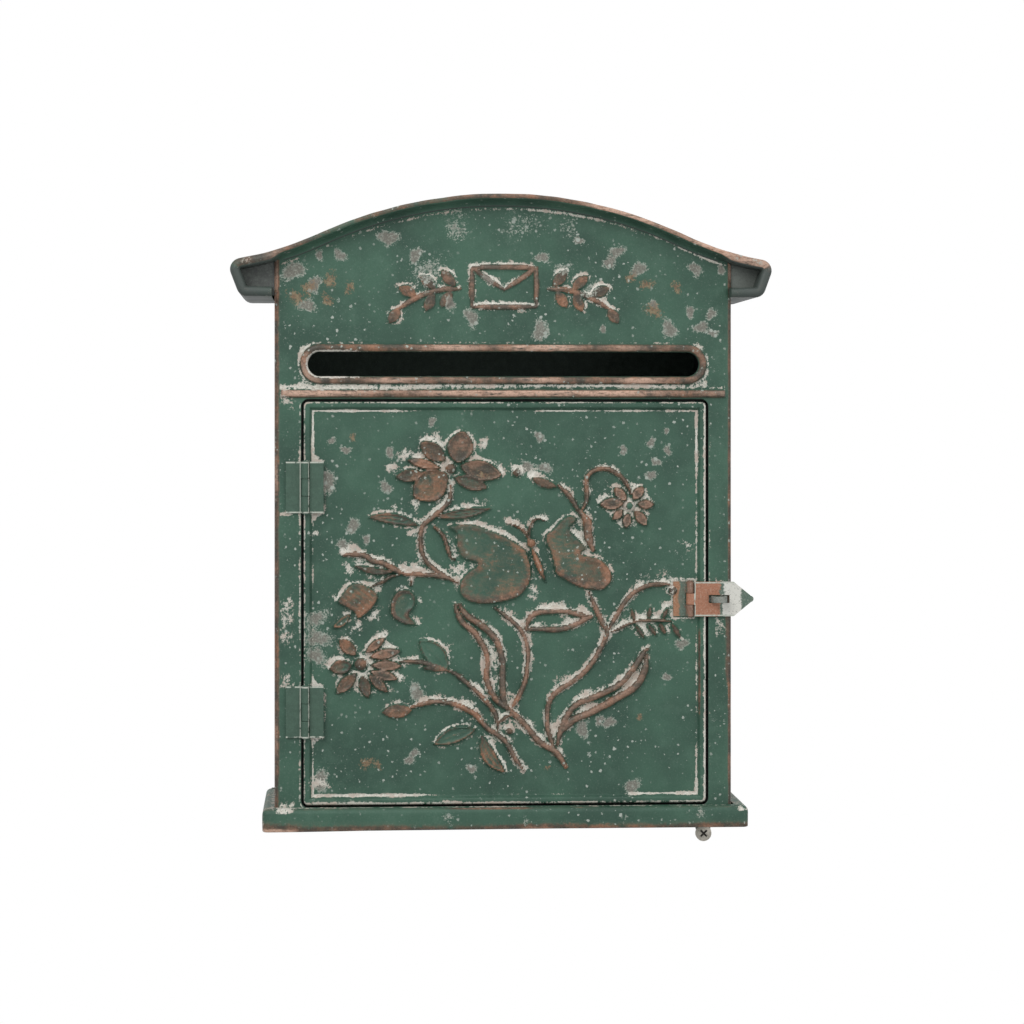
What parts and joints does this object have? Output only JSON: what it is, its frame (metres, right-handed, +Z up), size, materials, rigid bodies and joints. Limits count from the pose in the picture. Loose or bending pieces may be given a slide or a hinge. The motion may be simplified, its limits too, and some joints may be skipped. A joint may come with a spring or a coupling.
{
  "type": "letter box",
  "caption": "Wall-hung sheet-metal letter box with an arched roof, a letter slot, a side-hinged relief door and a hasp, in worn green paint.",
  "frame": {"origin": "midway between the two wall holes, in the plane of the wall", "axes": "+X to the right seen from the front, +Y from the front into the wall, +Z up"},
  "size_m": [0.279, 0.1211, 0.3482],
  "materials": {
    "aged_green_paint": "aged matt paint, chipped and worn to copper-brown on the high edges",
    "rusty_steel": "rusted steel with paint remains",
    "zinc_steel": "dull zinc plating"
  },
  "bodies": {
    "box": {"body_shell": "aged_green_paint", "back_panel": "aged_green_paint", "roof": "aged_green_paint", "eave_plate_left": "aged_green_paint", "eave_plate_right": "aged_green_paint", "base_tray": "aged_green_paint", "upper_hinge_frame_leaf": "aged_green_paint", "lower_hinge_frame_leaf": "aged_green_paint", "upper_hinge_pin": "rusty_steel", "lower_hinge_pin": "rusty_steel", "staple": "rusty_steel", "ear_screw": "zinc_steel"},
    "door": {"door_panel": "aged_green_paint", "upper_hinge_door_leaf": "aged_green_paint", "lower_hinge_door_leaf": "aged_green_paint", "hasp_leaf": "rusty_steel", "hasp_pin": "rusty_steel"},
    "flap": {"hasp_flap": "rusty_steel"}
  },
  "joints": [
    {"name": "door_hinge", "type": "hinge", "parent": "box", "child": "door", "pos_m": [-0.1028, -0.0863, -0.09], "axis": [0, 0, -1], "range_deg": [0, 150]},
    {"name": "hasp_hinge", "type": "hinge", "parent": "door", "child": "flap", "pos_m": [0.0969, -0.0841, -0.0818], "axis": [0, 0, -1], "range_deg": [0, 150]}
  ]
}
